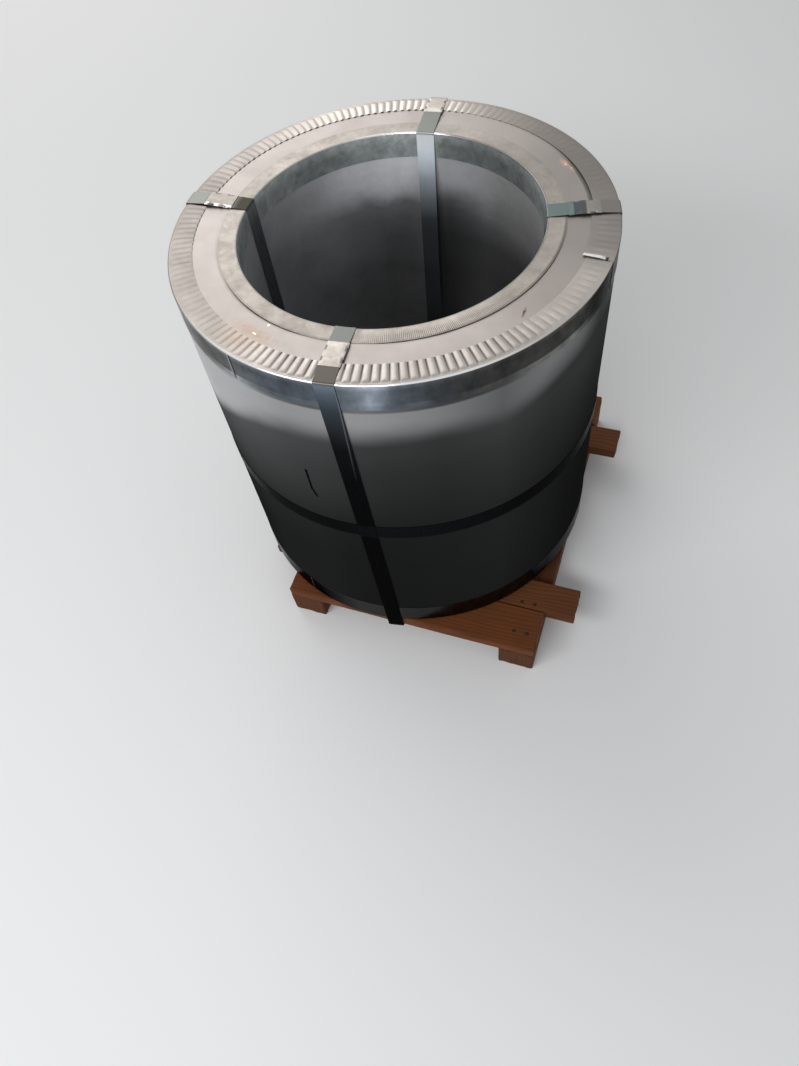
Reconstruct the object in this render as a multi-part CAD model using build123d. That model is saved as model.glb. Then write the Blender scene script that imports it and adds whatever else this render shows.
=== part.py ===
from build123d import *
import os

# Packed coil of galvanised steel strip, standing eye to sky on a wooden skid.
# Millimetres. Z is up from the floor and the deck boards run along X. Pieces are drawn about the
# coil's axis, and the origin goes to the middle of the whole load's box before export.

# Wound strip
strip_bore = 508.0
strip_outside = 732.0
strip_width = 695.0
strip_edge_break = 0.8

# Packing sheet: wrap, liner, end discs and edge rings are cut from one gauge
sheet = 0.5
sheet_fit = 0.2
wrap_setback = 1.4
disc_setback = 1.5
disc_bore_setback = 0.4

# Edge rings
outer_leg = 50.0
outer_ring_face = 41.4
outer_bend = 1.6
inner_leg = 46.0
inner_ring_face = 31.4
inner_bend = 1.0

# Pleats that gather the face leg of the outer rings
pleat_count = 170
pleat_rise = 2.7
pleat_width = 6.4
pleat_length = 36.0
pleat_tip = 1.0
pleat_profile = [(-1, 0), (-0.5, 0.75), (0, 1), (0.5, 0.75), (1, 0)]
trim_margin = 1.0

# Steel strapping
strap_width = 32.0
strap_thick = 0.8
strap_fit = 0.2
belly_height = 333.0
strap_lift = 1.0
strap_bore_clear = 0.1
strap_rim_clear = 0.6
strap_crown = 40.0
strap_corner = 3.0
strap_bore_corner = 1.6
strap_foot_corner = 0.2
strap_sector = 44.0

# Straps through the bore: azimuth on top, lean, whether tied under the deck, seal's first radius
eye_straps = {
    "front": (4.5, 2.3, True, 287.0),
    "right": (106.0, 0.0, False, 286.0),
    "back": (184.5, 0.0, True, 313.0),
    "left": (-89.0, 0.0, False, 282.0),
}

# Seals, folded round the straps and notched to crimp them
seal_length = 50.0
seal_thick = 0.8
seal_fit = 0.1
crimp_pitch = 24.0
crimp_length = 6.0
crimp_depth = 1.0
belly_seal_azimuth = 150.0

# Skid
bearer_width = 75.0
bearer_height = 60.0
bearer_spacing = 472.0
skid_depth = 716.0
skid_shift = 80.0
deck_thick = 25.0
outer_board_width = 95.0
inner_board_width = 70.0
inner_board_length = 680.0
inner_board_shift = -4.5
board_gap = 1.0

# Nails
nail_length = 58.0
nail_radius = 1.5
nail_head_radius = 3.5
nail_head_thick = 1.0
nail_sink = 0.5
nail_fit = 0.1
nail_spacing = 27.0
outer_nail_offset = 10.5
inner_nail_offset = 24.0

# Levels
deck_top = bearer_height + deck_thick
disc_bottom = deck_top + pleat_rise + sheet
strip_bottom = disc_bottom + sheet
strip_top = strip_bottom + strip_width
disc_top = strip_top + sheet
flange_top = disc_top + sheet
crest_top = flange_top + pleat_rise
middle = (deck_top + crest_top) / 2

# Radii
strip_inner = strip_bore / 2
strip_outer = strip_outside / 2
liner_outer = strip_inner - sheet_fit
liner_inner = liner_outer - sheet
inner_ring_bore = liner_inner - sheet_fit - sheet
wrap_inner = strip_outer + sheet_fit
wrap_outer = wrap_inner + sheet
outer_ring_outside = wrap_outer + sheet_fit + sheet
pleat_inner = outer_ring_outside - outer_ring_face
disc_inner = strip_inner + disc_bore_setback
disc_outer = strip_outer - disc_setback
belly_inner = wrap_outer + strap_fit
belly_outer = belly_inner + strap_thick
strap_side = belly_outer + strap_fit

nodes = {}


def tube(inner, outer, bottom, top):
    """Sleeve turned about the coil axis."""
    wall = Cylinder(outer, top - bottom) - Cylinder(inner, top - bottom)
    return Pos(0, 0, (bottom + top) / 2) * wall


def upside_down(piece):
    """The same piece on the coil's lower end."""
    return mirror(piece, about=Plane.XY.offset(middle))


def outward(azimuth):
    """Turns a piece drawn along +X to an azimuth counted from -Y towards +X."""
    return Rot(0, 0, azimuth - 90)


def edge_ring(face_edge, corner, leg, bend):
    """Rolled L-section ring: a face leg on the coil's end and a leg along its side."""
    towards_axis = 1 if face_edge > corner else -1
    leg_back = corner + towards_axis * sheet
    points = [
        (face_edge, disc_top),
        (face_edge, flange_top),
        (corner, flange_top),
        (corner, flange_top - leg),
        (leg_back, flange_top - leg),
        (leg_back, disc_top),
    ]
    corner_radii = [0, 0, bend + sheet, 0, 0, bend]
    section = make_face(FilletPolyline(*points, radius=corner_radii, close=True))
    return revolve(Plane.XZ * section, axis=Axis.Z)


def frustum(near, far):
    """Solid with flat faces between two like polygons, given as lists of points."""
    faces = [make_face(Polyline(*near, close=True)), make_face(Polyline(*far, close=True))]
    for i in range(len(near)):
        j = (i + 1) % len(near)
        faces.append(make_face(Polyline(near[i], near[j], far[j], far[i], close=True)))
    return Solid(Shell([face.face() for face in faces]))


def pleat_wedge(drop, depth, overrun):
    """Pleat with flat facets tapering towards the rim, let down by drop and closed at depth."""
    base = flange_top - drop
    ends = []
    for station in (-overrun, pleat_length - pleat_tip):
        share = 1 - station / pleat_length
        half_width = share * pleat_width / 2
        x = pleat_inner + station
        crest = [(x, half_width * u, base + share * pleat_rise * v) for u, v in pleat_profile]
        foot = [(x, half_width, base - share * depth), (x, -half_width, base - share * depth)]
        ends.append(crest + foot)
    return frustum(*ends)


def pleated_ring():
    """Outer edge ring, its face leg gathered into tapering radial pleats."""
    ring = edge_ring(pleat_inner - trim_margin, outer_ring_outside, outer_leg, outer_bend)
    mouth = RegularPolygon(pleat_inner, pleat_count, major_radius=False, rotation=180 / pleat_count)
    ring -= Pos(0, 0, disc_top - trim_margin) * extrude(mouth, sheet + 2 * trim_margin)
    turns = [Rot(0, 0, 360 * i / pleat_count) for i in range(pleat_count)]
    ridge = pleat_wedge(0, sheet / 2, 0)
    hollow = pleat_wedge(sheet, sheet, trim_margin)
    ring += [turn * ridge for turn in turns]
    return ring - [turn * hollow for turn in turns]


def strap_path(under_deck):
    """Closed area that an eye strap encloses, as radius against height."""
    bore_face = inner_ring_bore - strap_fit
    low_z = flange_top + strap_bore_clear
    peak_z = crest_top + strap_lift
    rim_z = flange_top + strap_rim_clear
    top = [(bore_face, low_z), (pleat_inner, peak_z), (strap_side, rim_z)]
    top_radii = [strap_bore_corner, strap_crown, strap_corner]
    if under_deck:
        board_edge = skid_depth / 2 - outer_board_width - board_gap - inner_board_width - seal_fit
        foot = bearer_height - seal_fit
        low = [(strap_side, foot), (board_edge, foot), (board_edge, deck_top + seal_fit)]
        low_radii = [strap_foot_corner, strap_foot_corner, 0]
    else:
        low = [(radius, 2 * middle - z) for radius, z in reversed(top)]
        low_radii = list(reversed(top_radii))
    outline = FilletPolyline(*(top + low), radius=top_radii + low_radii, close=True)
    return make_face(outline)


def swept_band(area, inside, outside, width, lean):
    """Band between two offsets of a strap's path, as wide as the strap and leaning with it."""
    outer = offset(area, outside) if outside else area
    inner = offset(area, inside) if inside else area
    ring = revolve(Plane.XZ * (outer - inner), axis=Axis.Z, revolution_arc=strap_sector)
    ring = Rot(0, 0, -strap_sector / 2) * ring
    slab = Box(4 * strip_outer, width, 4 * strip_width)
    return ring & (Pos(0, 0, flange_top) * Rot(lean, 0, 0) * slab)


def eye_strap(azimuth, lean, under_deck):
    """Strap through the bore, over the top, down the side and back under the load."""
    band = swept_band(strap_path(under_deck), 0, strap_thick, strap_width, lean)
    return outward(azimuth) * band


def eye_seal(azimuth, lean, under_deck, first_radius):
    """Sleeve folded round a strap on the coil's top, crimped twice along each edge."""
    area = strap_path(under_deck)
    leaf = seal_fit + seal_thick
    blank = swept_band(area, -leaf, strap_thick + leaf, strap_width + 2 * leaf, lean)
    passage = swept_band(area, -seal_fit, strap_thick + seal_fit, strap_width + 2 * seal_fit, lean)
    centre = Pos(first_radius + seal_length / 2, 0, crest_top)
    window = centre * Box(seal_length, 3 * strap_width, seal_length)
    seal = (blank & window) - passage
    half_width = strap_width / 2 + leaf
    for side in (-1, 1):
        for along in (-crimp_pitch / 2, crimp_pitch / 2):
            notch = Box(crimp_length, 2 * crimp_depth, 2 * seal_length)
            seal -= centre * Pos(along, side * half_width, 0) * notch
    return outward(azimuth) * seal


def belly_seal():
    """Clip over the belly strap's joint, its edges turned down over the strap's edges."""
    level = deck_top + belly_height
    reach = strap_width / 2 + seal_fit
    cap = tube(belly_inner, belly_outer + seal_fit + seal_thick, level - reach - seal_thick,
               level + reach + seal_thick)
    cap -= tube(belly_inner / 2, belly_outer + seal_fit, level - reach, level + reach)
    window = Pos(belly_outer, 0, level) * Box(4 * strap_width, seal_length, 2 * strap_width)
    return outward(belly_seal_azimuth) * (cap & window)


def board(x_centre, y_centre, length, width):
    """Deck board lying on the bearers."""
    return Pos(x_centre, y_centre, bearer_height + deck_thick / 2) * Box(length, width, deck_thick)


def nail_spots(y):
    """Places of the four nails that hold one board, two into each bearer."""
    return [
        (skid_shift + side * bearer_spacing / 2 + step * nail_spacing / 2, y)
        for side in (-1, 1)
        for step in (-1, 1)
    ]


def nail_solid(grow):
    """Nail pointing down from its head, grown a little all round to make its hole."""
    head_base = deck_top - nail_sink - nail_head_thick
    shank_length = nail_length + grow
    shank = Pos(0, 0, head_base - shank_length / 2) * Cylinder(nail_radius + grow, shank_length)
    head_height = nail_head_thick + (nail_sink + grow if grow else 0)
    head = Pos(0, 0, head_base + head_height / 2)
    return shank + head * Cylinder(nail_head_radius + grow, head_height)


# Coil and its packing
coil = tube(strip_inner, strip_outer, strip_bottom, strip_top)
nodes["strip_coil"] = chamfer(coil.edges().filter_by(GeomType.CIRCLE), strip_edge_break)
nodes["bore_liner"] = tube(liner_inner, liner_outer, strip_bottom, strip_top)
wrap_bottom = strip_bottom + wrap_setback
wrap_top = strip_top - wrap_setback
nodes["outer_wrap"] = tube(wrap_inner, wrap_outer, wrap_bottom, wrap_top)
nodes["top_end_disc"] = tube(disc_inner, disc_outer, strip_top, disc_top)
nodes["top_outer_ring"] = pleated_ring()
inner_ring_edge = inner_ring_bore + inner_ring_face
nodes["top_inner_ring"] = edge_ring(inner_ring_edge, inner_ring_bore, inner_leg, inner_bend)
for top_name in ("top_end_disc", "top_outer_ring", "top_inner_ring"):
    nodes[top_name.replace("top", "bottom")] = upside_down(nodes[top_name])

# Strapping
belly_level = deck_top + belly_height
belly_low = belly_level - strap_width / 2
nodes["belly_strap"] = tube(belly_inner, belly_outer, belly_low, belly_low + strap_width)
nodes["belly_seal"] = belly_seal()
for name, (azimuth, lean, under_deck, first_radius) in eye_straps.items():
    nodes["eye_strap_" + name] = eye_strap(azimuth, lean, under_deck)
    nodes["eye_seal_" + name] = eye_seal(azimuth, lean, under_deck, first_radius)

# Skid
outer_board_length = bearer_spacing + bearer_width
outer_row = skid_depth / 2 - outer_board_width / 2
inner_row = skid_depth / 2 - outer_board_width - board_gap - inner_board_width / 2
inner_board_x = skid_shift + inner_board_shift
bearers = {}
for name, side in (("left", -1), ("right", 1)):
    x_centre = skid_shift + side * bearer_spacing / 2
    beam = Box(bearer_width, skid_depth, bearer_height)
    bearers[name + "_bearer"] = Pos(x_centre, 0, bearer_height / 2) * beam
nail = nail_solid(0)
nail_hole = nail_solid(nail_fit)
for name, side in (("front", -1), ("back", 1)):
    outer_board = board(skid_shift, side * outer_row, outer_board_length, outer_board_width)
    inner_board = board(inner_board_x, side * inner_row, inner_board_length, inner_board_width)
    rows = (
        (name + "_outer", outer_board, side * (outer_row + outer_nail_offset)),
        (name + "_inner", inner_board, side * (inner_row + inner_nail_offset)),
    )
    for row_name, plank, nail_y in rows:
        spots = nail_spots(nail_y)
        holes = [Pos(x, y, 0) * nail_hole for x, y in spots]
        nodes[row_name + "_board"] = plank - holes
        nodes[row_name + "_nails"] = Compound([Pos(x, y, 0) * nail for x, y in spots])
        for bearer_name in bearers:
            bearers[bearer_name] -= holes
nodes.update(bearers)

# Middle of the box along X: the deck reaches further to the right than the strapped coil to the left
deck_reach = inner_board_x + inner_board_length / 2
strap_reach = strap_side + strap_thick
to_origin = Pos((strap_reach - deck_reach) / 2, 0, 0)

os.makedirs("parts", exist_ok=True)
for name, solid in nodes.items():
    export_step(to_origin * solid, "parts/" + name + ".step")
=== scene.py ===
import random
from math import atan2, cos, degrees, hypot, pi, radians, sin

import bpy
from mathutils import Matrix, Vector


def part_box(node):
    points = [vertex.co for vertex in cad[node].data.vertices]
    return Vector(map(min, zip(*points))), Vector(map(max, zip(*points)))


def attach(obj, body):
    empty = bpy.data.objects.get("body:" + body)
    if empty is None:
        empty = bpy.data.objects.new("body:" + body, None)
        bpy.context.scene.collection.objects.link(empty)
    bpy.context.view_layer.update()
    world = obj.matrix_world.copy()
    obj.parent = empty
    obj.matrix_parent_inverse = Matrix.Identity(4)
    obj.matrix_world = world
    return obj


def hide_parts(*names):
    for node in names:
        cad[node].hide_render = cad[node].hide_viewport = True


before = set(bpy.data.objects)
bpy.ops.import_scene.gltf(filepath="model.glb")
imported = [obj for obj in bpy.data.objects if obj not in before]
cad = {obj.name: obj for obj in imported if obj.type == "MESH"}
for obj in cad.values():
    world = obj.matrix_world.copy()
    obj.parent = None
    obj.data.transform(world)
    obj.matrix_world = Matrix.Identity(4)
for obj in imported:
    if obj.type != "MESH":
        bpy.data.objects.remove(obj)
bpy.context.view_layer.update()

# Skid wood
# The skid is rough-sawn softwood: two bearers with deck boards nailed across them. The faces
# keep the saw's fur, the edges are knocked soft, and the ends are cut square and a little torn.


def add(tree, kind, inputs=None, **settings):
    """Adds a shader node, then sets its properties and fills or links its inputs."""
    made = tree.nodes.new("ShaderNode" + kind)
    for name, value in settings.items():
        setattr(made, name, value)
    for key, value in (inputs or {}).items():
        if isinstance(value, bpy.types.NodeSocket):
            tree.links.new(value, made.inputs[key])
        else:
            made.inputs[key].default_value = value
    return made


def calc(tree, operation, *values):
    """One math node."""
    return add(tree, "Math", dict(enumerate(values)), operation=operation).outputs[0]


def times(tree, first, *others):
    """Multiplies values."""
    for value in others:
        first = calc(tree, "MULTIPLY", first, value)
    return first


def vector(tree, operation, *values):
    """The outputs of one vector math node: its vector and its value."""
    return add(tree, "VectorMath", dict(enumerate(values)), operation=operation).outputs


def stretched(tree, at, rates):
    """Multiplies coordinates, each by a rate of its own."""
    return vector(tree, "MULTIPLY", at, rates)[0]


def joined(tree, *parts):
    """Makes coordinates of two or three values."""
    return add(tree, "CombineXYZ", dict(enumerate(parts))).outputs[0]


def noise(tree, at, scale, detail, roughness=0.5):
    """One noise texture's value."""
    return add(tree, "TexNoise", {"Vector": at, "Scale": scale, "Detail": detail,
                                  "Roughness": roughness}).outputs[0]


def blend(tree, share, under, over, mode="MIX"):
    """One colour mix node."""
    made = add(tree, "Mix", {0: share, 6: under, 7: over}, data_type="RGBA", blend_type=mode)
    return made.outputs[2]


def between(tree, value, low, high, to_low=0.0, to_high=1.0):
    """Spreads one range of a value, which may run backwards, onto another, held at both ends."""
    return add(tree, "MapRange", {0: value, 1: low, 2: high, 3: to_low, 4: to_high}).outputs[0]


def new_group(name, inputs, outputs):
    """Starts a shader node group with named sockets."""
    group = bpy.data.node_groups.new(name, "ShaderNodeTree")
    for label, kind, value in inputs:
        socket = group.interface.new_socket(label, in_out="INPUT", socket_type="NodeSocket" + kind)
        if value is not None:
            socket.default_value = value
    for label, kind in outputs:
        group.interface.new_socket(label, in_out="OUTPUT", socket_type="NodeSocket" + kind)
    given = group.nodes.new("NodeGroupInput").outputs
    result = group.nodes.new("NodeGroupOutput").inputs
    return group, given, result


def place(tree, group, inputs):
    """Places a node group in a material."""
    return add(tree, "Group", inputs, node_tree=group).outputs


def relief(tree, height, strength, distance, over=None, **more):
    """Turns a height into a shading normal, laid over another normal if one is given."""
    inputs = {"Strength": strength, "Distance": distance, "Height": height}
    if over is not None:
        inputs["Normal"] = over
    return add(tree, "Bump", inputs, **more).outputs[0]


def link(tree, node_inputs, **values):
    """Links values to sockets that have these names, as base_color for Base Color."""
    for label, value in values.items():
        tree.links.new(value, node_inputs[label.replace("_", " ").title()])


def finish_for(name, roughness=0.5, metallic=0.0):
    """Starts a material: its node tree and its Principled shader's inputs."""
    material = bpy.data.materials.new(name)
    material.use_nodes = True
    shader = material.node_tree.nodes["Principled BSDF"].inputs
    shader["Roughness"].default_value = roughness
    shader["Metallic"].default_value = metallic
    return material, material.node_tree, shader


def dress(piece, material):
    """Gives a piece one material all over."""
    piece.data.materials.clear()
    piece.data.materials.append(material)


def pick(piece):
    """Selects one object alone and makes it the active one."""
    bpy.ops.object.select_all(action="DESELECT")
    piece.select_set(True)
    bpy.context.view_layer.objects.active = piece


def open_mesh():
    """Edits the active mesh, with all of it selected."""
    bpy.ops.object.mode_set(mode="EDIT")
    bpy.ops.mesh.select_all(action="SELECT")


def close_mesh():
    """Ends the editing of a mesh."""
    bpy.ops.object.mode_set(mode="OBJECT")


def slice_mesh(at, facing):
    """Cuts new edges through the whole mesh along a plane."""
    bpy.ops.mesh.select_all(action="SELECT")
    bpy.ops.mesh.bisect(plane_co=at, plane_no=facing)


wood_group, given, result = new_group(
    "sawn_wood",
    [("Coordinates", "Vector", None), ("Pale", "Color", (0.5, 0.3, 0.15, 1)),
     ("Dark", "Color", (0.2, 0.1, 0.04, 1)), ("Grime", "Color", (0.05, 0.026, 0.012, 1)),
     ("Grime Share", "Float", 0.4)],
    [("Color", "Color"), ("Roughness", "Float"), ("Height", "Float")],
)
tree = wood_group
at = given["Coordinates"]
bend = noise(tree, stretched(tree, at, (3, 9, 9)), 1.0, 2.0)
bent = vector(tree, "ADD", stretched(tree, at, (1.6, 22, 30)), bend)[0]
figure = add(tree, "TexWave", {"Vector": bent, "Scale": 1.5, "Distortion": 6.0, "Detail": 3.0,
                               "Detail Scale": 1.2}, bands_direction="Y").outputs["Fac"]
fur = noise(tree, stretched(tree, at, (12, 260, 260)), 1.0, 4.0, 0.65)
saw = noise(tree, stretched(tree, at, (330, 26, 26)), 1.0, 2.0)
cloud = noise(tree, at, 14.0, 5.0, 0.6)
knot_gap = add(tree, "TexVoronoi", {"Vector": stretched(tree, at, (5.5, 12, 12)), "Scale": 1.0,
                                    "Randomness": 1.0}).outputs["Distance"]
knot = between(tree, knot_gap, 0.14, 0.05)
tone = calc(tree, "ADD", times(tree, figure, 0.55), times(tree, fur, 0.45))
colour = blend(tree, between(tree, tone, 0.2, 0.85), given["Pale"], given["Dark"])
colour = blend(tree, times(tree, knot, 0.8), colour, (0.06, 0.028, 0.012, 1))
grime = times(tree, between(tree, cloud, 0.42, 0.72), given["Grime Share"])
height = calc(tree, "ADD", times(tree, fur, 0.6), times(tree, saw, 0.4))
link(tree, result, color=blend(tree, grime, colour, given["Grime"]), height=height,
     roughness=between(tree, fur, 0.2, 0.8, 0.62, 0.9))


def wood(name, pale, dark, grime_share, turn, shift):
    """Softwood whose grain runs along X, or along Y when turned."""
    material, tree, shader = finish_for(name)
    shader["Specular IOR Level"].default_value = 0.25
    seat = add(tree, "Mapping", {"Vector": add(tree, "TexCoord").outputs["Object"],
                                 "Rotation": (0, 0, turn), "Location": shift})
    look = place(tree, wood_group, {"Coordinates": seat.outputs[0], "Pale": (*pale, 1),
                                    "Dark": (*dark, 1), "Grime Share": grime_share})
    link(tree, shader, base_color=look["Color"], roughness=look["Roughness"],
         normal=relief(tree, look["Height"], 0.55, 0.0012))
    return material


def rough_timber(node, name, material, seed, grain_axis, nails=()):
    """One sawn length of timber: a block cut across, its edges worn and its ends torn."""
    low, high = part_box(node)
    size = high - low
    middle = (low + high) / 2
    slice_pitch = 0.02
    deepest_wave = 0.00012
    deepest_tear = 0.0022
    deepest_chip = 0.0012
    bpy.ops.mesh.primitive_cube_add(size=1, location=middle, scale=size)
    piece = bpy.context.object
    piece.name = name
    bpy.ops.object.transform_apply(location=True, rotation=True, scale=True)
    open_mesh()
    bpy.ops.mesh.bevel(offset=0.0022, segments=2, affect="EDGES")
    across_axis = 1 - grain_axis
    for axis, count in ((grain_axis, int(size[grain_axis] / slice_pitch)), (across_axis, 6)):
        for i in range(1, count):
            at = low.copy()
            at[axis] = low[axis] + size[axis] * i / count
            slice_mesh(at, [int(k == axis) for k in range(3)])
    close_mesh()
    draw = random.Random(seed)
    waves = [(draw.uniform(4, 30), draw.uniform(0, 6.3), draw.uniform(20, 90)) for _ in range(5)]
    for vertex in piece.data.vertices:
        spot = vertex.co
        along = spot[grain_axis]
        inward = middle - spot
        wear = 0
        for rate, phase, cross in waves:
            wear += deepest_wave * (1 + sin(rate * along + phase + cross * (spot.z + spot[across_axis])))
        near_end = min(along - low[grain_axis], high[grain_axis] - along)
        torn = max(0, 1 - near_end / 0.006) * draw.uniform(0, deepest_tear)
        on_corner = sum(1 for k in range(3) if min(spot[k] - low[k], high[k] - spot[k]) < 0.0016)
        if on_corner > 1:
            wear += draw.uniform(0, deepest_chip)
        for k in range(3):
            if k == grain_axis:
                vertex.co[k] += torn * (1 if inward[k] > 0 else -1)
            elif k != 2 or on_corner > 1:
                vertex.co[k] += wear * (1 if inward[k] > 0 else -1)
    for nail_at in nails:
        bpy.ops.mesh.primitive_cylinder_add(vertices=20, radius=0.0042, depth=0.004,
                                            location=(nail_at[0], nail_at[1], high.z))
        cutter = bpy.context.object
        hole = piece.modifiers.new("nail_dent", "BOOLEAN")
        hole.operation = "DIFFERENCE"
        hole.object = cutter
        hole.solver = "EXACT"
        bpy.context.view_layer.objects.active = piece
        bpy.ops.object.modifier_apply(modifier=hole.name)
        bpy.data.objects.remove(cutter)
    pick(piece)
    bpy.ops.object.shade_smooth_by_angle(angle=radians(35))
    dress(piece, material)
    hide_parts(node)
    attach(piece, "root")


pine_fresh = wood("pine_fresh", (0.150, 0.045, 0.0105), (0.110, 0.030, 0.0065), 0.3, 0, (0, 0, 0))
pine_pale = wood("pine_pale", (0.138, 0.046, 0.0130), (0.098, 0.031, 0.0080), 0.35, 0, (1, 3, 0))
pine_bearer = wood("pine_bearer", (0.100, 0.031, 0.0080), (0.072, 0.020, 0.0050), 0.4, pi / 2,
                   (4, 1, 2))


def nail_places(node):
    """Where each nail of a row stands, from the row's box: two in each bearer."""
    low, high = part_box(node)
    y = (low.y + high.y) / 2
    head = (high.y - low.y) / 2
    spacing = 0.027
    return [(x, y) for x in (low.x + head, low.x + head + spacing,
                             high.x - head - spacing, high.x - head)]


for index, row in enumerate(("front_outer", "front_inner", "back_inner", "back_outer")):
    tint = pine_fresh if "outer" in row else pine_pale
    rough_timber(row + "_board", row + "_plank", tint, 11 + index, 0, nail_places(row + "_nails"))
for index, side in enumerate(("left", "right")):
    rough_timber(side + "_bearer", side + "_beam", pine_bearer, 31 + index, 1)

# Nails
# Bright wire nails, driven just under the boards' faces. Their heads have gone dull and brown.

nail_finish, tree, shader = finish_for("nail_iron", 0.55, 0.8)
spots = noise(tree, add(tree, "TexCoord").outputs["Object"], 900.0, 3.0)
rusting = between(tree, spots, 0.35, 0.65)
link(tree, shader, roughness=between(tree, spots, 0.3, 0.7, 0.4, 0.8),
     base_color=blend(tree, rusting, (0.050, 0.040, 0.035, 1), (0.060, 0.024, 0.012, 1)))
for row in ("front_outer", "front_inner", "back_inner", "back_outer"):
    dress(cad[row + "_nails"], nail_finish)

# Wound strip
# The coil itself: galvanised strip wound tight on a mandrel, so its turns show on both ends as
# fine rings. The packing covers it almost everywhere.

coil_low, coil_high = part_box("strip_coil")
axis_x = (coil_low.x + coil_high.x) / 2

axis_group, given, result = new_group(
    "round_the_axis", [("Coordinates", "Vector", None)],
    [("Turn", "Float"), ("Radius", "Float"), ("Level", "Float")],
)
tree = axis_group
parts = add(tree, "SeparateXYZ", {0: given["Coordinates"]}).outputs
# Turn is the azimuth in radians, from the front (-Y) towards the right (+X)
front_way = times(tree, parts["Y"], -1.0)
flat = joined(tree, parts["X"], parts["Y"])
link(tree, result, turn=calc(tree, "ARCTAN2", parts["X"], front_way), level=parts["Z"],
     radius=vector(tree, "LENGTH", flat)["Value"])


def about_axis(tree):
    """Azimuth, radius and level of the shaded point, and the plain coordinates from the axis."""
    seat = add(tree, "Mapping", {"Vector": add(tree, "TexCoord").outputs["Object"],
                                 "Location": (-axis_x, 0, 0)}).outputs[0]
    polar = place(tree, axis_group, {"Coordinates": seat})
    return polar["Turn"], polar["Radius"], polar["Level"], seat


strip_finish, tree, shader = finish_for("wound_strip", 0.35, 1.0)
turn, radius, level, seat = about_axis(tree)
edges = noise(tree, joined(tree, times(tree, radius, 1400.0), times(tree, turn, 0.5)), 1.0, 2.0)
edge_colour = blend(tree, between(tree, edges, 0.35, 0.65), (0.36, 0.37, 0.38, 1), (0.6, 0.6, 0.6, 1))
link(tree, shader, base_color=edge_colour, normal=relief(tree, edges, 0.4, 0.0004))
dress(cad["strip_coil"], strip_finish)

# Bore liner
# Thin galvanised sheet rolled inside the bore. It is dull; painted light and shade in its colour make it
# lighter high up at the back and darkest low down where little light falls on it.

sheet_group, given, result = new_group(
    "zinc_sheet",
    [("Coordinates", "Vector", None), ("Light", "Color", (0.6, 0.6, 0.6, 1)),
     ("Shade", "Color", (0.5, 0.5, 0.5, 1)), ("Spangle", "Float", 0.3), ("Spangle Size", "Float", 0.012),
     ("Cloud Size", "Float", 0.12), ("Smooth", "Float", 0.3), ("Rough", "Float", 0.5)],
    [("Color", "Color"), ("Roughness", "Float"), ("Height", "Float")],
)
tree = sheet_group
at = given["Coordinates"]
cells = add(tree, "TexVoronoi", {"Vector": at, "Randomness": 1.0,
                                 "Scale": calc(tree, "DIVIDE", 1.0, given["Spangle Size"])})
cell_tone = add(tree, "SeparateXYZ", {0: cells.outputs["Color"]}).outputs[0]
clouds = noise(tree, at, calc(tree, "DIVIDE", 1.0, given["Cloud Size"]), 5.0, 0.6)
spangled = times(tree, cell_tone, given["Spangle"])
tone = calc(tree, "ADD", between(tree, clouds, 0.3, 0.7), spangled)
rough_range = calc(tree, "SUBTRACT", given["Rough"], given["Smooth"])
rougher = times(tree, between(tree, tone, 0.0, 1.2), rough_range)
fine = times(tree, noise(tree, at, 420.0, 2.0), 0.15)
link(tree, result, roughness=calc(tree, "ADD", given["Smooth"], rougher),
     color=blend(tree, between(tree, tone, 0.0, 1.3), given["Light"], given["Shade"]),
     height=calc(tree, "ADD", times(tree, clouds, 2.0), fine))


def sheet(tree, at, light, shade, spangle, spangle_size, cloud_size, rough):
    """Galvanised sheet's colour, roughness and height."""
    return place(tree, sheet_group, {
        "Coordinates": at, "Light": (*light, 1), "Shade": (*shade, 1), "Spangle": spangle,
        "Spangle Size": spangle_size, "Cloud Size": cloud_size, "Smooth": rough[0], "Rough": rough[1]})


def unrolled(tree, turn, radius, level, around):
    """Coordinates that run round the coil, scaled along its turn, so marks lie along the rolling."""
    return joined(tree, times(tree, turn, around), radius, level)


def graded(tree, value, stops):
    """A value read from a table of (place, amount) stops, straight between them."""
    low, high = stops[0][0], stops[-1][0]
    ramp = add(tree, "ValToRGB", {0: between(tree, value, low, high)})
    elements = ramp.color_ramp.elements
    for index, (at, amount) in enumerate(stops):
        share = (at - low) / (high - low)
        if index == 0:
            stop = elements[0]
        elif index == len(stops) - 1:
            stop = elements[-1]
        else:
            stop = elements.new(share)
        stop.position = share
        stop.color = (amount, amount, amount, 1)
    return ramp.outputs[0]


def by_turn(tree, turn, stops):
    """A value that changes round the coil, from stops of (degrees, amount)."""
    return graded(tree, times(tree, turn, 180 / pi), stops)


def mixed(tree, share, under, over):
    """Mixes two values."""
    return add(tree, "Mix", {0: share, 2: under, 3: over}).outputs[0]


def band(tree, value, start, full, still, stop):
    """1 where a value is between full and still, and fading to 0 at start and at stop."""
    return times(tree, between(tree, value, start, full), between(tree, value, stop, still))


def toned(tree, colour, tone):
    """Multiplies a colour by a value."""
    grey = joined(tree, tone, tone, tone)
    return blend(tree, 1.0, colour, grey, "MULTIPLY")


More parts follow.
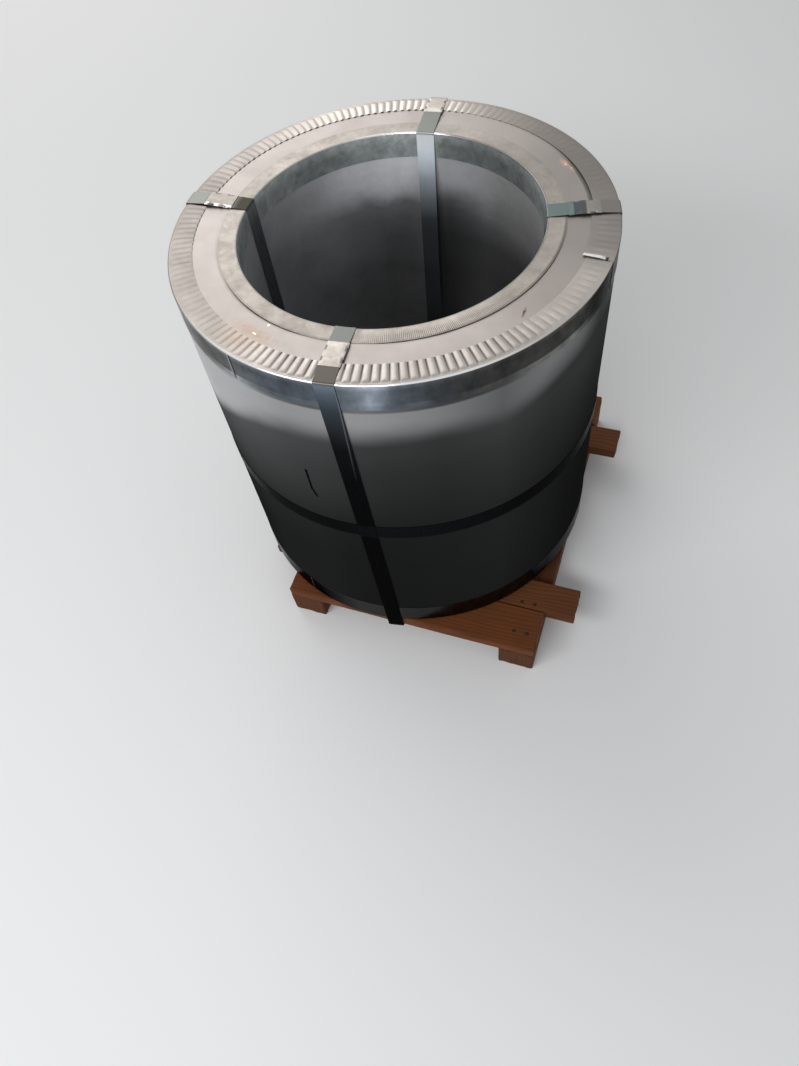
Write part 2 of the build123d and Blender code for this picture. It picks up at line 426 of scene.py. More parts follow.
liner_finish, tree, shader = finish_for("liner_sheet", 0.4, 0.25)
turn, radius, level, seat = about_axis(tree)
look = sheet(tree, unrolled(tree, turn, radius, level, 0.253), (1.16, 1.17, 1.20),
             (0.80, 0.81, 0.84), 0.2, 0.01, 0.09, (0.34, 0.5))
# Painted light and shade: tables by height and round the coil set the wall's tone, lit high at the back
# and shaded on the left and right and low down
wall_wobble = noise(tree, unrolled(tree, turn, radius, level, 0.2), 16.0, 4.0, 0.6)
wall_level = calc(tree, "ADD", level, between(tree, wall_wobble, 0.3, 0.7, -0.011, 0.011))
lit_wall_tone = graded(tree, wall_level, [
    (0.08, 0.4), (0.35, 0.25), (0.4, 0.18), (0.45, 0.12), (0.5, 0.078), (0.57, 0.085), (0.61, 0.11),
    (0.64, 0.166), (0.66, 0.42), (0.68, 0.66), (0.7, 0.78), (0.725, 0.86), (0.75, 0.82)])
left_wall = graded(tree, level, [
    (0.08, 0.36), (0.54, 0.37), (0.6, 0.34), (0.64, 0.34), (0.68, 0.42), (0.71, 0.42), (0.74, 0.46)])
right_wall = graded(tree, level, [
    (0.08, 0.3), (0.35, 0.18), (0.45, 0.07), (0.5, 0.05), (0.58, 0.055), (0.62, 0.12), (0.64, 0.18),
    (0.66, 0.2), (0.7, 0.28), (0.74, 0.32)])
on_left = by_turn(tree, turn, [(-180, 0.3), (-150, 1), (-40, 1), (60, 0), (180, 0)])
shaded_wall_tone = mixed(tree, on_left, right_wall, left_wall)
lit_wall_share = by_turn(tree, turn, [
    (-180, 0.5), (-172, 0.85), (-165, 1), (-155, 0.97), (-140, 0.66), (-130, 0.32), (-120, 0.12),
    (-110, 0), (140, 0), (150, 0.06), (160, 0.22), (170, 0.35), (180, 0.5)])
wall_tone = mixed(tree, lit_wall_share, shaded_wall_tone, lit_wall_tone)
# Painted shadow of the back strap darkens the wall low down beside it
strap_shadow = by_turn(tree, turn, [
    (-180, 0.55), (-178, 0.55), (-176, 0.85), (-172, 1), (157, 1), (165, 0.7), (171, 0.52), (176, 0.4),
    (180, 0.55)])
strap_shadow = mixed(tree, between(tree, level, 0.690, 0.655), 1.0, strap_shadow)
wall_tone = times(tree, wall_tone, strap_shadow)
warmed = by_turn(tree, turn, [(-180, 0), (85, 0), (105, 1), (145, 1), (162, 0), (180, 0)])
wall_tint = blend(tree, warmed, (1.0, 1.0, 1.0, 1), (1.0, 0.985, 0.945, 1))
wall_colour = toned(tree, blend(tree, 1.0, look["Color"], wall_tint, "MULTIPLY"), wall_tone)
link(tree, shader, base_color=wall_colour, roughness=look["Roughness"],
     normal=relief(tree, look["Height"], 0.12, 0.002))
dress(cad["bore_liner"], liner_finish)

# Outer wrap
# One turn of thin galvanised sheet round the coil, held by the straps. Its face is satin and
# blue-grey, with painted light on a band at the top and painted shade lower down, where it is less
# metallic, and one hooked scrape to the left of the front strap.

scrape_group, given, result = new_group(
    "scrape", [("Coordinates", "Vector", None), ("Start", "Vector", (0, 0, 0)),
               ("End", "Vector", (0, 0, 1)), ("Width", "Float", 0.002)],
    [("Mask", "Float")],
)
tree = scrape_group
at = given["Coordinates"]
run = vector(tree, "SUBTRACT", given["End"], given["Start"])[0]
gone = vector(tree, "SUBTRACT", at, given["Start"])[0]
run_dot = vector(tree, "DOT_PRODUCT", run, run)["Value"]
gone_dot = vector(tree, "DOT_PRODUCT", gone, run)["Value"]
share = add(tree, "Clamp", {0: calc(tree, "DIVIDE", gone_dot, run_dot)}).outputs[0]
foot = add(tree, "VectorMath", {0: run, "Scale": share}, operation="SCALE").outputs[0]
miss = vector(tree, "DISTANCE", gone, foot)["Value"]
ragged = between(tree, noise(tree, at, 260.0, 2.0), 0.2, 0.8, 0.4, 1.5)
reach = times(tree, given["Width"], ragged)
link(tree, result, mask=between(tree, calc(tree, "DIVIDE", miss, reach), 1.0, 0.5))

wrap_finish, tree, shader = finish_for("wrap_sheet", 0.4)
shader["Specular Tint"].default_value = (0.3, 0.3, 0.3, 1)
shader["Specular IOR Level"].default_value = 0.0
turn, radius, level, seat = about_axis(tree)
look = sheet(tree, unrolled(tree, turn, radius, level, 0.2), (1.08, 1.09, 1.09), (0.90, 0.92, 0.93),
             0.05, 0.01, 0.22, (0.36, 0.46))
# Painted light and shade: a lit band at the top and shade lower down, by tables round the coil and by
# height
band_noise = noise(tree, unrolled(tree, turn, radius, level, 0.12), 9.0, 3.0)
band_level = calc(tree, "ADD", level, between(tree, band_noise, 0.3, 0.7, -0.010, 0.010))
band_reach = by_turn(tree, turn, [
    (-180, 0.1), (-110, 0.12), (-60, 0.18), (-40, 0.175), (-30, 0.145), (-20, 0.11), (-10, 0.097),
    (0, 0.095), (15, 0.1), (30, 0.107), (46, 0.12), (60, 0.09), (78, 0.07), (110, 0.1), (180, 0.1)])
band_level = calc(tree, "ADD", band_level, calc(tree, "SUBTRACT", band_reach, 0.1))
upper_band = add(tree, "MapRange", {0: band_level, 1: 0.650, 2: 0.712},
            interpolation_type="SMOOTHSTEP").outputs[0]
lit_band_tone = by_turn(tree, turn, [
    (-180, 0.5), (-90, 0.7), (-40, 0.92), (-30, 0.78), (-20, 0.61), (-8, 0.4), (15, 0.365), (30, 0.28),
    (45, 0.175), (58, 0.28), (70, 0.29), (80, 0.12), (96, 0.16), (125, 0.42), (180, 0.5)])
shaded_tone = by_turn(tree, turn, [
    (-180, 0.09), (-40, 0.12), (-30, 0.115), (-20, 0.095), (-10, 0.072), (15, 0.042), (30, 0.04),
    (45, 0.06), (60, 0.05), (72, 0.058), (80, 0.052), (96, 0.06), (125, 0.09), (180, 0.09)])
wrap_low_shade = by_turn(tree, turn, [
    (-180, 0.03), (-60, 0.03), (-46, 0.011), (-40, 0.011), (-30, 0.016), (-10, 0.016), (0, 0.013),
    (15, 0.013), (30, 0.016), (45, 0.022), (60, 0.018), (70, 0.014), (80, 0.012), (96, 0.013),
    (120, 0.03), (180, 0.03)])
height_share = graded(tree, level, [(0.3, 0), (0.42, 0.06), (0.5, 0.32), (0.58, 0.62), (0.65, 1)])
shaded_tone = mixed(tree, height_share, wrap_low_shade, shaded_tone)
# Just under the edge ring, painted shade darkens the sheet at the front
under_ring_shade = by_turn(tree, turn, [
    (-180, 1), (-40, 0.75), (-28, 0.72), (-20, 0.92), (-12, 0.5), (0, 0.33), (12, 0.56), (20, 0.44),
    (30, 0.27), (38, 0.33), (46, 0.55), (53, 1), (180, 1)])
under_ring_shade = mixed(tree, between(tree, level, 0.7252, 0.7288), 1.0, under_ring_shade)
wrap_tone = times(tree, mixed(tree, upper_band, shaded_tone, lit_band_tone), under_ring_shade)
wrap_colour = toned(tree, look["Color"], wrap_tone)
# The scrape runs down, then hooks to the right: places are along the face and up
wrap_radius = 0.3665
side_at = joined(tree, times(tree, turn, wrap_radius), level)
scrape_top, scrape_bend, scrape_end = (-0.0457, 0.5640, 0), (-0.0448, 0.5130, 0), (-0.0390, 0.4955, 0)
scrape_long = place(tree, scrape_group, {"Coordinates": side_at, "Start": scrape_top,
                                         "End": scrape_bend, "Width": 0.0031})["Mask"]
scrape_hook = place(tree, scrape_group, {"Coordinates": side_at, "Start": scrape_bend,
                                         "End": scrape_end, "Width": 0.0034})["Mask"]
scrape_mask = calc(tree, "MAXIMUM", scrape_long, scrape_hook)
wrap_colour = blend(tree, scrape_mask, wrap_colour, (0.003, 0.003, 0.004, 1))
dent = relief(tree, scrape_mask, 0.7, 0.0012, relief(tree, look["Height"], 0.10, 0.003), invert=True)
link(tree, shader, base_color=wrap_colour, roughness=look["Roughness"], normal=dent,
     metallic=between(tree, upper_band, 0.0, 1.0, 0.03, 1.0))
dress(cad["outer_wrap"], wrap_finish)

# End discs
# Flat rings of sheet laid on both ends under the edge rings. The top one shows as the pale plain
# band inside the pleats, with a brown smear, two rust marks and a few bright nicks.

spot_group, given, result = new_group(
    "stain_spot", [("Coordinates", "Vector", None), ("Centre", "Vector", (0, 0, 0)),
                   ("Reach", "Vector", (0.01, 0.01, 1)), ("Softness", "Float", 0.5)],
    [("Mask", "Float")],
)
tree = spot_group
off = vector(tree, "SUBTRACT", given["Coordinates"], given["Centre"])[0]
off = vector(tree, "DIVIDE", off, given["Reach"])[0]
far = vector(tree, "LENGTH", off)["Value"]
ragged = between(tree, noise(tree, given["Coordinates"], 160.0, 4.0), 0.2, 0.8, -0.45, 0.45)
inner_reach = calc(tree, "SUBTRACT", 1.0, given["Softness"])
link(tree, result, mask=between(tree, calc(tree, "ADD", far, ragged), 1.0, inner_reach))


def stain(tree, at, centre, reach, softness):
    """The mask of one ragged spot."""
    return place(tree, spot_group, {"Coordinates": at, "Centre": centre, "Reach": reach,
                                    "Softness": softness})["Mask"]


disc_finish, tree, shader = finish_for("end_disc_sheet", 0.42, 1.0)
turn, radius, level, seat = about_axis(tree)
look = sheet(tree, seat, (0.405, 0.370, 0.350), (0.350, 0.317, 0.298), 0.06, 0.01, 0.10, (0.38, 0.5))
# Painted light and shade: the disc's tone changes round the coil with how light falls on it
disc_light_tone = by_turn(tree, turn, [
    (-180, 0.89), (-150, 0.86), (-60, 0.83), (-30, 0.77), (-15, 0.88), (0, 0.83), (15, 0.83), (30, 0.92),
    (45, 0.94), (60, 0.83), (75, 0.75), (90, 0.67), (135, 0.67), (150, 0.83), (165, 0.9), (180, 0.89)])
colour = toned(tree, look["Color"], times(tree, disc_light_tone, 1.2))
# Each stain: its place along the disc and out from the axis, reach, softness, colour and strength
disc_middle = 0.32
polar_flat = joined(tree, times(tree, turn, disc_middle), radius)
stains = [
    ((-0.118, 0.315, 0), (0.056, 0.016, 1), 0.95, (0.345, 0.255, 0.198, 1), 0.85),
    ((0.726, 0.316, 0), (0.015, 0.008, 1), 0.9, (0.62, 0.39, 0.27, 1), 0.85),
    ((0.704, 0.321, 0), (0.012, 0.007, 1), 0.9, (0.62, 0.39, 0.27, 1), 0.8),
    ((0.722, 0.3155, 0), (0.0035, 0.0020, 1), 0.5, (0.95, 0.82, 0.72, 1), 0.9),
    ((0.708, 0.3195, 0), (0.0030, 0.0016, 1), 0.5, (0.90, 0.70, 0.56, 1), 0.9),
    ((-0.115, 0.3140, 0), (0.0040, 0.0014, 1), 0.4, (1.0, 0.97, 0.93, 1), 1.0),
    ((-0.109, 0.2895, 0), (0.0019, 0.0022, 1), 0.4, (1.0, 0.97, 0.93, 1), 1.0),
]
for centre, reach, softness, tint, strength in stains:
    mask = stain(tree, polar_flat, centre, reach, softness)
    colour = blend(tree, times(tree, mask, strength), colour, tint)
flange_shade = by_turn(tree, turn, [
    (-180, 0), (-75, 0.05), (-60, 0.3), (-30, 0.45), (-12, 0.15), (0, 0.15), (15, 0), (28, 0.2),
    (45, 0.05), (180, 0)])
flange_shade = times(tree, between(tree, radius, 0.2895, 0.2850), flange_shade)
mouth_shade = by_turn(tree, turn, [(-180, 0), (106, 0), (110, 0.75), (126, 0.75), (136, 0.1), (180, 0)])
mouth_shade = times(tree, between(tree, radius, 0.3185, 0.3225), mouth_shade)
colour = blend(tree, calc(tree, "MAXIMUM", flange_shade, mouth_shade), colour, (0.065, 0.060, 0.055, 1))
brown_mark = stain(tree, seat, (0.2640, -0.1655, 0.784), (0.0030, 0.0120, 1), 0.6)
colour = blend(tree, times(tree, brown_mark, 0.92), colour, (0.090, 0.052, 0.033, 1))
link(tree, shader, base_color=colour, roughness=look["Roughness"],
     normal=relief(tree, look["Height"], 0.10, 0.002))
for node in ("top_end_disc", "bottom_end_disc"):
    dress(cad[node], disc_finish)

# Outer edge rings
# L-section rings rolled from galvanised sheet. The leg on the coil's end is gathered into narrow
# pleats that open at its inner edge. One end of the ring laps over the other on the right.


def turned_sheet(name, profile, first_turn, sweep, steps):
    """A sheet rolled about the coil's axis: its profile is drawn point by point, then spun."""
    aim = Vector((sin(first_turn), -cos(first_turn), 0))
    centre = Vector((axis_x, 0, 0))
    points = [centre + aim * out + Vector((0, 0, up)) for out, up in profile]
    bpy.ops.mesh.primitive_plane_add(size=0.001, location=points[0])
    piece = bpy.context.object
    piece.name = name
    bpy.ops.object.transform_apply(location=True, rotation=True, scale=True)
    open_mesh()
    bpy.ops.mesh.merge(type="CENTER")
    for here, there in zip(points, points[1:]):
        bpy.ops.mesh.extrude_region_move(TRANSFORM_OT_translate={"value": there - here})
    bpy.ops.mesh.select_all(action="SELECT")
    bpy.ops.mesh.spin(steps=steps, angle=sweep, center=centre, axis=(0, 0, -1))
    bpy.ops.mesh.select_all(action="SELECT")
    bpy.ops.mesh.remove_doubles(threshold=0.00002)
    bpy.ops.mesh.normals_make_consistent(inside=False)
    close_mesh()
    return piece


def turn_and_radius(spot):
    """Azimuth and radius of a point about the coil's axis."""
    return atan2(spot.x - axis_x, -spot.y), hypot(spot.x - axis_x, spot.y)


def keyed(table, value):
    """Reads a table of (place, amount) pairs, straight between them."""
    for (x0, y0), (x1, y1) in zip(table, table[1:]):
        if value <= x1:
            return y0 + (y1 - y0) * max(0, value - x0) / (x1 - x0)
    return table[-1][1]


def flip_if_down(piece):
    """Turns a sheet's faces over if, taken together, they look down."""
    up = sum(face.normal.z * face.area for face in piece.data.polygons)
    if up < 0:
        pick(piece)
        open_mesh()
        bpy.ops.mesh.flip_normals()
        close_mesh()


def thicken(piece, gauge, smooth_angle):
    """Gives a sheet its thickness inwards and shades it smooth."""
    wall = piece.modifiers.new("gauge", "SOLIDIFY")
    wall.thickness = gauge
    wall.offset = -1
    pick(piece)
    bpy.ops.object.modifier_apply(modifier=wall.name)
    bpy.ops.object.shade_smooth_by_angle(angle=radians(smooth_angle))


def quarter_bend(out, up, size, first):
    """Points of a rounded bend about its centre, from the first angle in degrees to 90."""
    turns = [radians(first + (90 - first) * i / 4) for i in range(5)]
    return [(out + size * cos(angle), up + size * sin(angle)) for angle in turns]


def turn_over(piece):
    """Mirrors a sheet from the coil's top to its bottom."""
    pick(piece)
    open_mesh()
    bpy.ops.transform.mirror(constraint_axis=(False, False, True),
                             center_override=(axis_x, 0, middle_level))
    bpy.ops.mesh.normals_make_consistent(inside=False)
    close_mesh()


gauge = 0.0005
leg_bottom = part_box("top_outer_ring")[0].z
middle_level = 0.43620
ring_out = 0.3674
face_level = 0.7847
mouth = 0.3260
pleat_end = 0.3636
pleat_count = 163
first_crease = 0.24
pleat_rise = 0.0021
pleat_pull = 0.0006
corner = 0.0034
ring_profile = [(ring_out, leg_bottom), (ring_out, leg_bottom + 0.024),
                (ring_out, face_level - corner - 0.001)]
ring_profile += quarter_bend(ring_out - corner, face_level - corner, corner, 0)
ring_profile += [(out, face_level) for out in (0.3632, 0.3621, 0.3608, 0.3592, 0.3572, 0.3540, 0.3500,
                                               0.3450, 0.3395, 0.3345, 0.3305, 0.3277, 0.3262)]

# How bold the pleats are, and how far the ring's inner edge stands off, by azimuth in degrees
boldness = [
    (-180, 0.85), (-160, 0.85), (-140, 0.55), (-105, 0.5), (-60, 0.42), (-44, 0.28), (-30, 0.36),
    (-20, 0.55), (-6, 0.85), (0, 0.9), (38, 0.9), (50, 0.62), (58, 0.38), (66, 0.26), (82, 0.24),
    (86, 0.1), (108, 0.1), (112, 0.2), (140, 0.24), (160, 0.26), (172, 0.34), (176, 0.6), (180, 0.85)]
# How much dirt and painted shade lie in the creases, by azimuth in degrees
crease_dirt_and_shade_by_turn = [
    (-180, 0.25), (-130, 0.25), (-100, 0.4), (-60, 0.35), (-44, 0.2), (-25, 0.6), (0, 1), (46, 1),
    (56, 0.6), (62, 0.3), (110, 0.2), (180, 0.25)]
flat_mouth = [(-180, 0), (44, 0), (60, 1), (84, 1), (112, 1), (135, 0.4), (150, 0), (180, 0)]
narrow_mouth = [(-180, 1), (-60, 1), (-35, 0), (100, 0), (140, 1), (180, 1)]
stand_off = [
    (-180, 0), (-95, 0), (-86, 0.1), (-75, 0.1), (-60, 0), (0, 0), (60, 0.1), (80, 0), (109, 0),
    (114, 1.4), (128, 1.4), (140, 0.3), (150, 0), (180, 0)]


def held(value):
    """Keeps a value between 0 and 1."""
    return min(1.0, max(0.0, value))


def pleated(piece, seed):
    """Gathers the face leg of a ring into pleats, no two quite alike."""
    draw = random.Random(seed)
    rise = [draw.uniform(0.80, 1.05) for _ in range(pleat_count)]
    shift = [draw.uniform(-0.04, 0.04) for _ in range(pleat_count + 1)]
    reach = [draw.uniform(0.0, 0.05) for _ in range(pleat_count)]
    shift[pleat_count] = shift[0]
    crease_dirt_and_shade = piece.data.attributes.new("crease_dirt_and_shade", "FLOAT", "POINT").data
    for vertex in piece.data.vertices:
        azimuth, out = turn_and_radius(vertex.co)
        if vertex.co.z < face_level - 0.0001 or out > pleat_end:
            continue
        along = (azimuth + pi) / (2 * pi) * pleat_count - first_crease + pleat_count
        index = int(along) % pleat_count
        # The creases between the pleats wander a little from an even pitch
        start, stop = shift[index], 1 + shift[index + 1]
        share = held((along - int(along) - start) / (stop - start))
        left = held((pleat_end - out) / (pleat_end - mouth))
        bold = keyed(boldness, degrees(azimuth))
        closing = held((left - 0.75) / 0.25) * keyed(narrow_mouth, degrees(azimuth))
        ridge = (0.5 - 0.5 * cos(2 * pi * share)) ** (0.38 + 1.3 * closing)
        ending = held((left - reach[index]) / 0.13)
        ending = ending * ending * (3 - 2 * ending)
        bold *= 1 - 0.85 * held((left - 0.45) / 0.3) * keyed(flat_mouth, degrees(azimuth))
        crease = held(1.5 * max(0.0, 1 - min(share, 1 - share) / 0.16))
        crease *= keyed(crease_dirt_and_shade_by_turn, degrees(azimuth))
        crease_dirt_and_shade[vertex.index].value = crease * min(1.0, bold * 1.3) * ending * (0.65 + 0.35 * left)
        vertex.co.z += pleat_rise * rise[index] * bold * ridge * ending * (0.75 + 0.25 * left)
        vertex.co.z += 0.001 * keyed(stand_off, degrees(azimuth)) * left ** 3
        if left > 0.9:
            pull = pleat_pull * ridge * bold
            vertex.co.x += pull * sin(azimuth)
            vertex.co.y -= pull * cos(azimuth)


ring_finish, tree, shader = finish_for("edge_ring_sheet", 0.36)
shader["Specular Tint"].default_value = (0.4, 0.4, 0.4, 1)
turn, radius, level, seat = about_axis(tree)
look = sheet(tree, seat, (0.52, 0.485, 0.460), (0.42, 0.390, 0.366), 0.12, 0.006, 0.05, (0.28, 0.44))
# Painted light and shade: the face's tone changes round the coil with how light falls on it
face_light_tone = by_turn(tree, turn, [
    (-180, 0.87), (-165, 0.83), (-150, 0.82), (-135, 0.68), (-120, 0.5), (-100, 0.43), (-75, 0.37),
    (-60, 0.43), (-45, 0.38), (-30, 0.42), (-15, 0.54), (0, 0.57), (15, 0.54), (40, 0.57), (52, 0.54),
    (60, 0.62), (80, 0.62), (90, 0.38), (120, 0.35), (135, 0.36), (150, 0.42), (165, 0.55), (174, 0.7),
    (180, 0.87)])
colour = toned(tree, look["Color"], times(tree, face_light_tone, 1.75))
# Painted shade: below the tops of the pleats the sheet is a little darker
below_crest_shade = blend(tree, 1.0, colour, (0.86, 0.85, 0.83, 1), "MULTIPLY")
colour = blend(tree, between(tree, level, 0.7843, 0.7868), below_crest_shade, colour)
# Dirt and painted shade darken the creases between the pleats
crease_dirt_and_shade_mask = add(tree, "Attribute", attribute_name="crease_dirt_and_shade").outputs["Fac"]
colour = blend(tree, times(tree, crease_dirt_and_shade_mask, 0.9), colour, (0.038, 0.034, 0.031, 1))
pleat_middle = 0.34
polar_flat = joined(tree, times(tree, turn, pleat_middle), radius)
smear = stain(tree, polar_flat, (-0.135, 0.335, 0), (0.055, 0.024, 1), 0.95)
colour = blend(tree, times(tree, smear, 0.65), colour, (0.34, 0.255, 0.20, 1))
# The lap's cut end is curled, with a painted highlight along it that turns near-black at its outer end
lap_cut = times(tree, band(tree, turn, radians(84.8), radians(84.9), radians(85.9), radians(86.3)),
                between(tree, radius, 0.3605, 0.358),
                between(tree, level, face_level + 0.0004, face_level + 0.0007))
curl = noise(tree, seat, 75.0, 1.0)
lap_end = blend(tree, between(tree, curl, 0.50, 0.60), (0.98, 0.97, 0.95, 1), (0.62, 0.60, 0.57, 1))
lap_end = blend(tree, between(tree, radius, 0.3535, 0.3560), lap_end, (0.020, 0.020, 0.020, 1))
colour = blend(tree, lap_cut, colour, lap_end)
# Painted highlight along the rim's bend, strongest at the front
rim_highlight_by_turn = by_turn(tree, turn, [
    (-180, 0.12), (-120, 0.15), (-60, 0.12), (-44, 0.25), (-34, 0.6), (-24, 1), (38, 1), (50, 0.5),
    (60, 0.15), (110, 0.05), (180, 0.12)])
rim = times(tree, between(tree, radius, 0.3644, 0.3650),
            between(tree, level, face_level - 0.0026, face_level - 0.0020), rim_highlight_by_turn)
colour = blend(tree, rim, colour, (0.82, 0.83, 0.84, 1))
streaks_at = joined(tree, times(tree, turn, 16.0), times(tree, level, 30.0))
leg_streaks = noise(tree, streaks_at, 1.0, 3.0, 0.55)
# Painted reflections and shade: the leg's tone changes round the coil, in streaks, and is lighter near
# its top
leg_light_tone = by_turn(tree, turn, [
    (-180, 0.2), (-100, 0.22), (-60, 0.3), (-40, 0.36), (-33, 0.22), (-22, 0.2), (-12, 0.13), (-4, 0.1),
    (6, 0.13), (11, 0.2), (14, 0.38), (17, 0.25), (21, 0.11), (30, 0.062), (44, 0.05), (52, 0.06),
    (60, 0.075), (68, 0.095), (74, 0.045), (80, 0.012), (96, 0.02), (120, 0.16), (180, 0.2)])
leg_light_tone = times(tree, leg_light_tone, between(tree, leg_streaks, 0.3, 0.7, 0.72, 1.32))
# The bottom ring's leg is plain, with painted shade that makes it dark
bottom_leg_shade = by_turn(tree, turn, [
    (-180, 0.05), (-90, 0.03), (-60, 0.005), (-40, 0.005), (-33, 0.008), (-25, 0.013), (-14, 0.029),
    (-3, 0.085), (20, 0.056), (43, 0.09), (60, 0.09), (75, 0.05), (96, 0.03), (130, 0.05), (180, 0.05)])
leg_light_tone = mixed(tree, between(tree, level, 0.2, 0.5), bottom_leg_shade, leg_light_tone)
leg_light_tone = times(tree, leg_light_tone, between(tree, level, 0.773, 0.781, 1.0, 1.6))
# Painted light and shade make a low band of the top ring's leg lighter in most places, by a tone that
# changes round the coil
low_band = band(tree, level, 0.70, 0.71, 0.7430, 0.7462)
low_band_light = by_turn(tree, turn, [
    (-180, 1.2), (-40, 1.2), (-28, 1.8), (-22, 3), (-16, 1.6), (-12, 1.32), (0, 1.36), (10, 1), (14, 0.8),
    (18, 0.8), (22, 1.4), (26, 1.5), (31, 1), (38, 1.7), (46, 1.9), (53, 3.2), (66, 3.2), (76, 1.6),
    (84, 1), (180, 1.2)])
leg_light_tone = times(tree, leg_light_tone, mixed(tree, low_band, 1.0, low_band_light))
cool = band(tree, turn, radians(-30), radians(-8), radians(24), radians(40))
leg_tint = blend(tree, cool, (1.0, 1.0, 0.96, 1), (0.84, 0.98, 1.14, 1))
leg_tint = blend(tree, between(tree, level, 0.5, 0.2), leg_tint, (1.0, 1.0, 0.98, 1))
leg_colour = toned(tree, leg_tint, leg_light_tone)
# Painted highlight: a faint light line along the bottom ring's edge at the front left
low_edge_highlight = by_turn(tree, turn, [(-180, 0), (-60, 0), (-38, 1), (-14, 1), (0, 0.1), (20, 0), (180, 0)])
low_edge_highlight = times(tree, band(tree, level, 0.1352, 0.1358, 0.1376, 0.1380), low_edge_highlight)
leg_colour = blend(tree, low_edge_highlight, leg_colour, (0.10, 0.10, 0.095, 1))
leg_rough = between(tree, leg_streaks, 0.3, 0.7, 0.30, 0.16)
# The ring's other end shows in its leg as a dark joint with a bright edge beside it
joint = band(tree, turn, radians(-21.3), radians(-21.1), radians(-20.8), radians(-20.6))
joint_edge = band(tree, turn, radians(-21.9), radians(-21.7), radians(-21.3), radians(-21.1))
side_colour = blend(tree, joint_edge, leg_colour, (0.42, 0.43, 0.44, 1))
side_colour = blend(tree, times(tree, joint, 0.8), side_colour, (0.012, 0.013, 0.015, 1))
on_face = between(tree, level, face_level - 0.0032, face_level - 0.0022)
ring_rough = mixed(tree, on_face, leg_rough, look["Roughness"])
link(tree, shader, base_color=blend(tree, on_face, side_colour, colour),
     roughness=mixed(tree, rim, ring_rough, 0.15), metallic=between(tree, lap_cut, 0.0, 1.0, 1.0, 0.15),
     normal=relief(tree, look["Height"], 0.14, 0.0016))

steps_in_pleat = 12
top_ring = turned_sheet("top_outer_edge_ring", ring_profile, -pi, 2 * pi, pleat_count * steps_in_pleat)
pleated(top_ring, 5)
flip_if_down(top_ring)
thicken(top_ring, gauge, 50)

# The lap: the ring's free end, almost flat, resting on the pleats beneath it
lap_start = radians(85)
lap_sweep = radians(20)
lap_lift = 0.0011
lap_gap = 0.00055
lap_ripple = 0.00022
lap_curl = 0.0017
lap_profile = [(out + lap_gap if up < face_level - 0.001 else out, up) for out, up in ring_profile]
lap_profile += [(0.3235, face_level), (0.3205, face_level)]
lap = turned_sheet("ring_lap", lap_profile, lap_start, lap_sweep, 90)

# The bottom ring is the top one turned over, without the lap
bottom_ring = top_ring.copy()
bottom_ring.data = top_ring.data.copy()
bottom_ring.name = "bottom_outer_edge_ring"
bpy.context.scene.collection.objects.link(bottom_ring)
turn_over(bottom_ring)

# The lap rides on the pleats, ripples with them, and curls up at its cut end
for vertex in lap.data.vertices:
    azimuth, out = turn_and_radius(vertex.co)
    gone = (azimuth - lap_start) / lap_sweep
    ripple = sin(azimuth * pleat_count) * lap_ripple * held((out - mouth) / 0.012)
    near_end = max(0.0, 1 - gone / 0.12)
    if vertex.co.z > face_level - 0.003:
        inner = held((0.3655 - out) / 0.02)
        vertex.co.z += lap_lift * (0.35 + 0.65 * inner) + lap_curl * near_end ** 2 * inner + ripple
flip_if_down(lap)
thicken(lap, gauge, 50)
pick(top_ring)
lap.select_set(True)
bpy.ops.object.join()

for piece, node in ((top_ring, "top_outer_ring"), (bottom_ring, "bottom_outer_ring")):
    dress(piece, ring_finish)
    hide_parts(node)
    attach(piece, "root")

# Inner edge rings
# Narrower L-section rings at the mouths of the bore. The flange lies on the end disc and springs
# up a little in places; the leg goes down into the bore and is mottled, and dark from painted shade.

inner_finish, tree, shader = finish_for("inner_ring_sheet", 0.4)
turn, radius, level, seat = about_axis(tree)
look = sheet(tree, seat, (0.375, 0.345, 0.315), (0.290, 0.265, 0.238), 0.40, 0.007, 0.035, (0.34, 0.5))
leg_look = sheet(tree, unrolled(tree, turn, radius, level, 0.25), (0.62, 0.67, 0.665),
                 (0.25, 0.277, 0.277), 0.35, 0.009, 0.03, (0.3, 0.5))
on_face = between(tree, level, face_level - 0.0022, face_level - 0.0014)
# Painted light and shade: the flange's tone changes round the coil with how light falls on it
flange_light_tone = by_turn(tree, turn, [
    (-180, 0.88), (-165, 0.79), (-120, 0.8), (-105, 0.74), (-75, 0.78), (-60, 0.88), (-45, 0.76),
    (-30, 0.67), (-15, 0.67), (5, 0.74), (15, 0.79), (30, 0.93), (45, 0.92), (60, 0.79), (75, 0.73),
    (95, 0.8), (120, 0.72), (135, 0.66), (150, 0.72), (165, 0.9), (180, 0.88)])
flange_colour = toned(tree, look["Color"], times(tree, flange_light_tone, 1.35))
edge_shade = by_turn(tree, turn, [
    (-180, 0), (-50, 0.1), (-30, 0.3), (-10, 0.2), (2, 0.3), (15, 0), (30, 0.35), (45, 0.4), (60, 0.32),
    (78, 0.6), (98, 0.6), (106, 0.1), (180, 0)])
edge_shade = times(tree, between(tree, radius, 0.2795, 0.2815), edge_shade)
flange_colour = blend(tree, edge_shade, flange_colour, (0.055, 0.050, 0.046, 1))
# Painted light and shade: the leg's tone changes round the coil and is lighter near its top
leg_light_tone = by_turn(tree, turn, [
    (-180, 0.83), (-165, 0.95), (-150, 0.78), (-138, 0.66), (-128, 0.58), (-118, 0.71), (-100, 0.87),
    (-85, 0.71), (-60, 0.68), (100, 0.54), (120, 0.54), (135, 0.36), (160, 0.37), (170, 0.43), (176, 0.6),
    (180, 0.83)])
leg_light_tone = times(tree, leg_light_tone, between(tree, level, 0.764, 0.780, 1.1, 1.7))
colour = blend(tree, on_face, toned(tree, leg_look["Color"], leg_light_tone), flange_colour)
